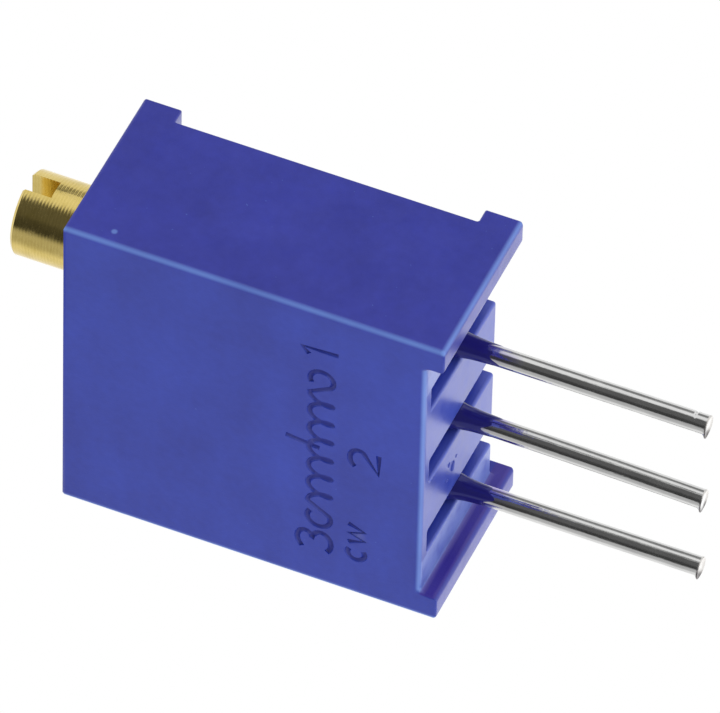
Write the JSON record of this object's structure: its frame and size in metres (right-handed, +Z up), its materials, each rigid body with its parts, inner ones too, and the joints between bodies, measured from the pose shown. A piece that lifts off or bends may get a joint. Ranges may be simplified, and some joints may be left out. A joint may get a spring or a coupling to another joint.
{
  "type": "trimmer potentiometer",
  "caption": "Square multi-turn trimmer potentiometer: blue moulded case, slotted brass adjusting screw on top, worm-driven wiper inside and in-line through-hole pins below.",
  "frame": {"origin": "the seating plane under the case's rails, on the axis of the middle pin", "axes": "+Z up through the case to the adjusting screw, +X along the row of pins towards pin 1 and the screw, -Y out of the marked front face"},
  "size_m": [0.0096, 0.0048, 0.0175],
  "materials": {
    "case_plastic": "moulded blue thermoset plastic, satin",
    "screw_brass": "turned brass, fine lathe marks",
    "seal_rubber": "black silicone rubber",
    "retainer_steel": "drawn wire",
    "rotor_plastic": "moulded natural nylon",
    "contact_alloy": "precious-metal spring alloy",
    "ceramic": "alumina plate",
    "track_film": "fired cermet resistor film",
    "conductor_film": "fired silver-palladium film",
    "tinned_wire": "tinned copper wire, bright",
    "solder": "reflowed solder",
    "epoxy_resin": "cured blue epoxy resin, glossy"
  },
  "bodies": {
    "case": {"housing": "case_plastic", "retaining_pin": "retainer_steel", "ceramic_substrate": "ceramic", "resistive_track": "track_film", "conductor_1": "conductor_film", "conductor_2": "conductor_film", "conductor_3": "conductor_film", "terminal_pin_1": "tinned_wire", "terminal_pin_2": "tinned_wire", "terminal_pin_3": "tinned_wire", "solder_joint_1": "solder", "solder_joint_2": "solder", "solder_joint_3": "solder", "epoxy_seal": "epoxy_resin"},
    "screw": {"adjusting_screw": "screw_brass", "sealing_ring": "seal_rubber"},
    "rotor": {"rotor_gear": "rotor_plastic", "wiper_contact": "contact_alloy"}
  },
  "joints": [
    {"name": "screw_turn", "type": "hinge", "parent": "case", "child": "screw", "pos_m": [0.00349, -0.00114, 0], "axis": [0, 0, 1], "range_deg": [-4500, 4500]},
    {"name": "rotor_turn", "type": "hinge", "parent": "case", "child": "rotor", "pos_m": [0, -0.00114, 0.00495], "axis": [0, 1, 0], "range_deg": [-150, 150]}
  ],
  "couplings": [
    {"joint": "rotor_turn", "follows": "screw_turn", "ratio": 0.033333}
  ]
}
